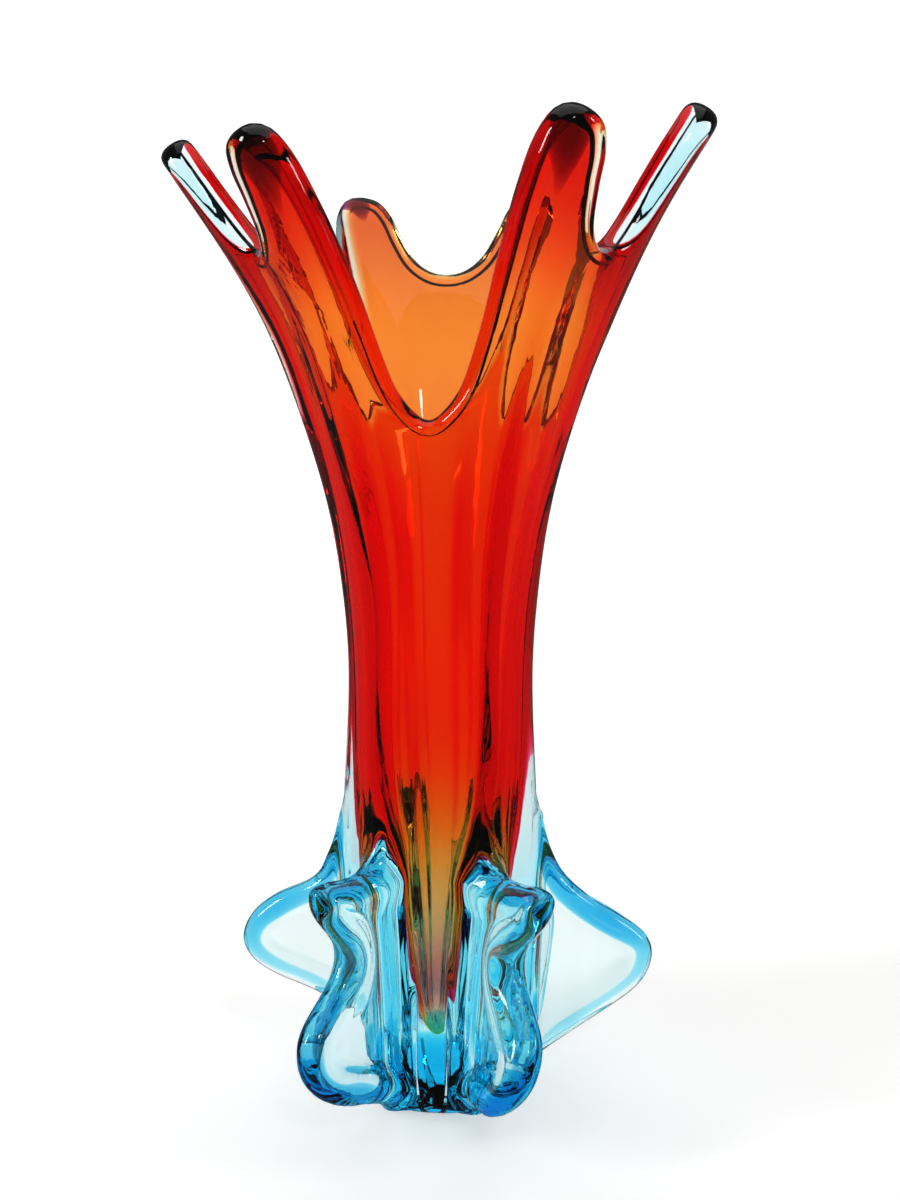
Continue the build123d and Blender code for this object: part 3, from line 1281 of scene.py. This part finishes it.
COLOUR_LAYERS = (
    ColourLayer(
        "amber_lining", "amber_lining", AMBER, near=0.1,
        far=Curve((
            (29.0, 0.22), (60.0, 0.3), (90.0, 0.5), (115.0, 0.85), (145.0, 1.3), (200.0, 1.3), (404.0, 1.3),
        )),
    ),
    ColourLayer(
        "ruby_overlay", "ruby_overlay", RUBY, near=1.4, floor=33.0, front_gain=2.1,
        far=Curve((
            (33.0, 3.0), (42.0, 2.9), (54.0, 2.3), (70.0, 1.8), (95.0, 1.75), (115.0, 2.0), (145.0, 2.6),
            (200.0, 2.7), (250.0, 2.6), (285.0, 2.35), (330.0, 2.3), (360.0, 2.6), (404.0, 3.2),
        )),
        striae=(
            (40.0, 5.0, 3.4), (-46.0, 5.0, 2.6), (-24.0, 2.5, 0.8), (14.0, 2.5, 0.9), (62.0, 5.0, 1.4),
            (-72.0, 5.0, 1.6), (105.0, 4.0, 1.8), (150.0, 5.0, 1.2), (-130.0, 4.0, 1.6), (-165.0, 3.0, 1.0),
        ),
    ),
    ColourLayer(
        "aqua_casing_rim", "aqua_casing", RIM_AQUA, near=6.2, floor=296.0,
        far=Curve(((290.0, 6.3), (320.0, 7.5), (345.0, 10.5), (404.0, 11.0))),
    ),
)


@dataclass(frozen=True)
class SoftBox:
    """An area light that faces the vase."""

    name: str
    place: tuple[float, float, float]
    size: tuple[float, float]
    power: float

    def build(self) -> None:
        """Hang the light, turned to face the middle of the vase."""
        data = bpy.data.lights.new(self.name, "AREA")
        data.shape = "RECTANGLE"
        data.size, data.size_y = self.size
        data.energy = self.power
        light = bpy.data.objects.new(self.name, data)
        light.location = self.place
        towards = Vector((0.0, 0.0, 0.2)) - light.location
        light.rotation_euler = towards.to_track_quat("-Z", "Y").to_euler()
        bpy.context.scene.collection.objects.link(light)


SOFT_BOXES = (
    SoftBox("window_left", place=(-1.6, -0.6, 0.9), size=(0.3, 0.8), power=12.0),
    SoftBox("window_right", place=(1.8, -0.3, 0.9), size=(0.22, 0.7), power=6.0),
    SoftBox("lamp_in_front", place=(0.5, -1.7, 1.5), size=(0.26, 0.26), power=4.0),
    SoftBox("overhead", place=(0.0, 0.1, 2.2), size=(2.4, 2.4), power=9.0),
)


@dataclass
class Studio:
    """A pale floor that sweeps up behind, soft light, and the camera.

    The camera's place is in millimetres and the sweep's sizes are in metres.
    """

    camera_place: tuple[float, float, float] = (4.0, -544.0, 282.0)
    camera_pitch: float = 7.68
    lens: float = 40.5
    floor_front: float = -1.2
    floor_back: float = 1.2
    half_width: float = 1.5
    sweep_bend: float = 0.5
    wall_height: float = 4.0
    floor_glow: float = 0.52
    wall_glow: float = 0.6
    room_front: float = 0.24
    room_back: float = 0.9
    room_reflected: float = 0.07
    backdrop: float = 0.9

    def build(self) -> None:
        """Set the stage."""
        self.build_sweep()
        self.build_light()
        self.build_camera()

    def build_sweep(self) -> None:
        """Make the floor and the wall: a profile of floor, quarter circle and wall, carried sideways."""
        turn = np.linspace(0.0, 0.5 * np.pi, 24)
        wall = self.floor_back + self.sweep_bend
        along = np.concatenate([[self.floor_front], self.floor_back + self.sweep_bend * np.sin(turn), [wall]])
        up = np.concatenate([[0.0], self.sweep_bend * (1.0 - np.cos(turn)), [self.wall_height]])
        left = np.stack([np.full_like(along, -self.half_width), along, up], axis=-1)
        right = left * [-1.0, 1.0, 1.0]
        count = len(along)
        faces = [(i, i + count, i + count + 1, i + 1) for i in range(count - 1)]
        mesh = bpy.data.meshes.new("sweep")
        mesh.from_pydata(np.concatenate([left, right]).tolist(), [], faces)
        mesh.shade_smooth()
        sweep = bpy.data.objects.new("sweep", mesh)
        bpy.context.scene.collection.objects.link(sweep)
        mesh.materials.append(self.sweep_material())
        sweep.visible_glossy = False

    def sweep_material(self) -> bpy.types.Material:
        """Build the sweep's matt white, which glows softly, and a little more towards the wall.

        Returns:
            The material.
        """
        material = bpy.data.materials.new("matt_white")
        material.use_nodes = True
        tree = material.node_tree
        shader = tree.nodes["Principled BSDF"]
        shader.inputs["Base Color"].default_value = (0.86, 0.86, 0.85, 1.0)
        shader.inputs["Roughness"].default_value = 0.8
        shader.inputs["Emission Color"].default_value = (1.0, 1.0, 1.0, 1.0)
        place = tree.nodes.new("ShaderNodeTexCoord")
        parts = tree.nodes.new("ShaderNodeSeparateXYZ")
        glow = tree.nodes.new("ShaderNodeMapRange")
        glow.interpolation_type = "SMOOTHSTEP"
        glow.inputs["From Min"].default_value = 0.1
        glow.inputs["From Max"].default_value = 1.5
        glow.inputs["To Min"].default_value = self.floor_glow
        glow.inputs["To Max"].default_value = self.wall_glow
        tree.links.new(place.outputs["Object"], parts.inputs["Vector"])
        tree.links.new(parts.outputs["Y"], glow.inputs["Value"])
        tree.links.new(glow.outputs["Result"], shader.inputs["Emission Strength"])
        return material

    def build_light(self) -> None:
        """Hang the soft boxes in a room that is pale behind the vase and falls off to dim in front.

        The camera sees the backdrop's even white, rays through the glass see the room, and reflections
        see it dimmed.
        """
        world = bpy.data.worlds.new("studio")
        bpy.context.scene.world = world
        world.use_nodes = True
        tree = world.node_tree
        background = tree.nodes["Background"]
        background.inputs["Color"].default_value = (1.0, 1.0, 1.0, 1.0)
        place = tree.nodes.new("ShaderNodeTexCoord")
        parts = tree.nodes.new("ShaderNodeSeparateXYZ")
        room = tree.nodes.new("ShaderNodeMapRange")
        room.interpolation_type = "SMOOTHSTEP"
        room.inputs["From Min"].default_value = -0.7
        room.inputs["From Max"].default_value = 0.9
        room.inputs["To Min"].default_value = self.room_front
        room.inputs["To Max"].default_value = self.room_back
        tree.links.new(place.outputs["Generated"], parts.inputs["Vector"])
        tree.links.new(parts.outputs["Y"], room.inputs["Value"])
        path = tree.nodes.new("ShaderNodeLightPath")
        seen = tree.nodes.new("ShaderNodeMix")
        seen.inputs["A"].default_value = self.room_reflected
        tree.links.new(path.outputs["Is Transmission Ray"], seen.inputs["Factor"])
        tree.links.new(room.outputs["Result"], seen.inputs["B"])
        backdrop = tree.nodes.new("ShaderNodeMix")
        backdrop.inputs["B"].default_value = self.backdrop
        tree.links.new(path.outputs["Is Camera Ray"], backdrop.inputs["Factor"])
        tree.links.new(seen.outputs["Result"], backdrop.inputs["A"])
        tree.links.new(backdrop.outputs["Result"], background.inputs["Strength"])
        for light in SOFT_BOXES:
            light.build()

    def build_camera(self) -> None:
        """Place the camera level left to right, looking a little down."""
        data = bpy.data.cameras.new("camera")
        data.lens = self.lens
        data.sensor_fit = "AUTO"
        data.sensor_width = 36.0
        data.clip_start = 0.01
        camera = bpy.data.objects.new("camera", data)
        camera.location = [value * MM for value in self.camera_place]
        camera.rotation_euler = (math.radians(90.0 - self.camera_pitch), 0.0, 0.0)
        bpy.context.scene.collection.objects.link(camera)
        bpy.context.scene.camera = camera


def set_render_look() -> None:
    """Let light through many layers of glass, and show colours as they are."""
    scene = bpy.context.scene
    scene.view_settings.view_transform = "Standard"
    scene.cycles.max_bounces = 40
    scene.cycles.transmission_bounces = 40
    scene.cycles.transparent_max_bounces = 32


def main() -> None:
    """Build the studio, the glass and its colours."""
    logging.basicConfig(level=logging.INFO, format="%(message)s")
    Studio().build()
    set_render_look()
    form = VaseForm()
    body, inner = VaseBody(form, AQUA).build()
    made = [body]
    made.extend(layer.build(inner, form) for layer in COLOUR_LAYERS)
    made.append(FootGather(FOOT_AQUA).build())
    made.append(CasingShade(form, FOOT_AQUA).build())
    made.extend(FingerTips(form, PLUM).build())
    for fin in form.fins:
        made.extend(DrawnFin(fin, FIN_AQUA, EDGE_AQUA).build())
    for piece in made:
        log.info("%s: %d faces", piece.name, len(piece.data.polygons))


if __name__ == "__main__":
    main()
